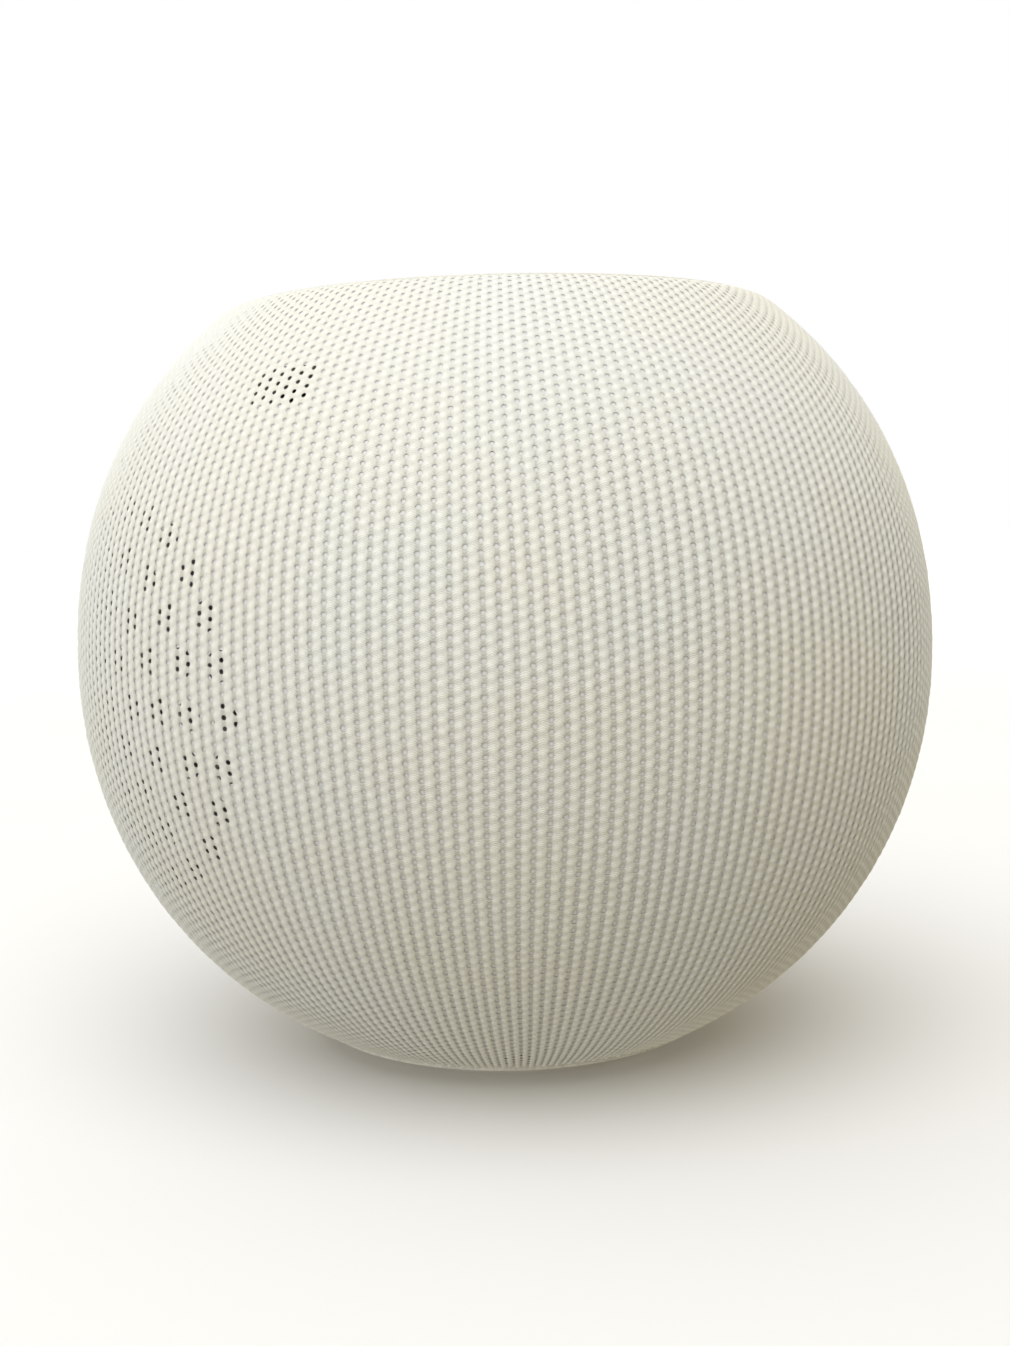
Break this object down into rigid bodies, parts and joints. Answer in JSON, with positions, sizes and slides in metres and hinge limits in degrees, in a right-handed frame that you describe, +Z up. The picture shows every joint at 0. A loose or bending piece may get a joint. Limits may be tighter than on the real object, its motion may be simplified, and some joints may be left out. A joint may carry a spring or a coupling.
{
  "type": "smart speaker",
  "caption": "Ball-shaped table speaker with a flat touch top, knitted cover over perforated shells, a downward driver and coupled side radiators.",
  "frame": {"origin": "centre of the foot's contact ring, on the floor", "axes": "+Z up, -Y towards the front, +X and -X towards the two radiators and their sound holes, +Y towards the power inlet"},
  "size_m": [0.098, 0.098, 0.0843],
  "materials": {
    "knit": "cream knitted mesh, open and slightly puffy",
    "shell": "off-white moulded plastic",
    "panel": "glossy off-white touch surface",
    "trim": "pale satin plastic",
    "film": "clear sensor film",
    "diffuser": "milky light diffuser",
    "circuit": "green circuit board",
    "flex": "amber polyimide",
    "aluminium": "brushed",
    "tin": "tinned steel sheet",
    "ferrite": "sintered ferrite",
    "can": "dark printed sleeve without text",
    "steel": "plated steel",
    "box": "dark grey glass-filled plastic",
    "rubber": "black rubber",
    "basket": "black moulded plastic",
    "zinc": "zinc-plated steel",
    "spider": "resin-treated cloth",
    "cone": "black treated paper pulp",
    "copper": "enamelled copper winding",
    "diaphragm": "black moulded plastic",
    "base": "pale moulded plastic",
    "foot": "pale silicone",
    "wire": "insulated lead",
    "red_wire": "red insulated lead"
  },
  "bodies": {
    "housing": {"base_plate": "base", "base_screw_1": "steel", "base_screw_2": "steel", "base_screw_3": "steel", "base_screw_4": "steel", "capacitor": "can", "driver_frame": "basket", "driver_gasket": "rubber", "driver_magnet": "ferrite", "driver_screw_1": "steel", "driver_screw_2": "steel", "driver_screw_3": "steel", "driver_screw_4": "steel", "driver_top_plate": "zinc", "driver_yoke": "zinc", "enclosure_body": "box", "enclosure_lid": "box", "enclosure_screw_1": "steel", "enclosure_screw_2": "steel", "enclosure_screw_3": "steel", "enclosure_screw_4": "steel", "fabric_cover": "knit", "foot_pad": "foot", "heat_spreader": "aluminium", "inductor": "ferrite", "inlet_bezel": "trim", "inlet_socket": "steel", "led_board": "circuit", "left_radiator_frame": "basket", "left_radiator_surround": "rubber", "lid_gasket": "rubber", "light_diffuser": "diffuser", "lower_shell": "shell", "main_board": "circuit", "mic_board_1": "circuit", "mic_board_2": "circuit", "mic_board_3": "circuit", "mic_board_4": "circuit", "power_board": "circuit", "power_lead": "wire", "right_radiator_frame": "basket", "right_radiator_surround": "rubber", "shield_can": "tin", "speaker_lead_1": "red_wire", "speaker_lead_2": "wire", "spider": "spider", "surround": "rubber", "top_ribbon": "flex", "top_trim_ring": "trim", "touch_panel": "panel", "touch_sensor": "film", "upper_shell": "shell", "waveguide": "box"},
    "driver_cone": {"cone": "cone", "dust_cap": "cone", "voice_coil": "copper"},
    "left_radiator": {"left_radiator_diaphragm": "diaphragm", "left_radiator_weight": "zinc"},
    "right_radiator": {"right_radiator_diaphragm": "diaphragm", "right_radiator_weight": "zinc"}
  },
  "joints": [
    {"name": "cone_travel", "type": "slide", "parent": "housing", "child": "driver_cone", "axis": [0, 0, 1], "range_m": [-0.002, 0.002], "stiffness_N_per_m": 600, "deforming": ["surround", "spider"]},
    {"name": "left_radiator_travel", "type": "slide", "parent": "housing", "child": "left_radiator", "axis": [-1, 0, 0], "range_m": [-0.0024, 0.0024], "stiffness_N_per_m": 400, "deforming": ["left_radiator_surround"]},
    {"name": "right_radiator_travel", "type": "slide", "parent": "housing", "child": "right_radiator", "axis": [1, 0, 0], "range_m": [-0.0024, 0.0024], "stiffness_N_per_m": 400, "deforming": ["right_radiator_surround"]}
  ],
  "couplings": [
    {"joint": "left_radiator_travel", "follows": "cone_travel", "ratio": 1.2},
    {"joint": "right_radiator_travel", "follows": "cone_travel", "ratio": 1.2}
  ]
}
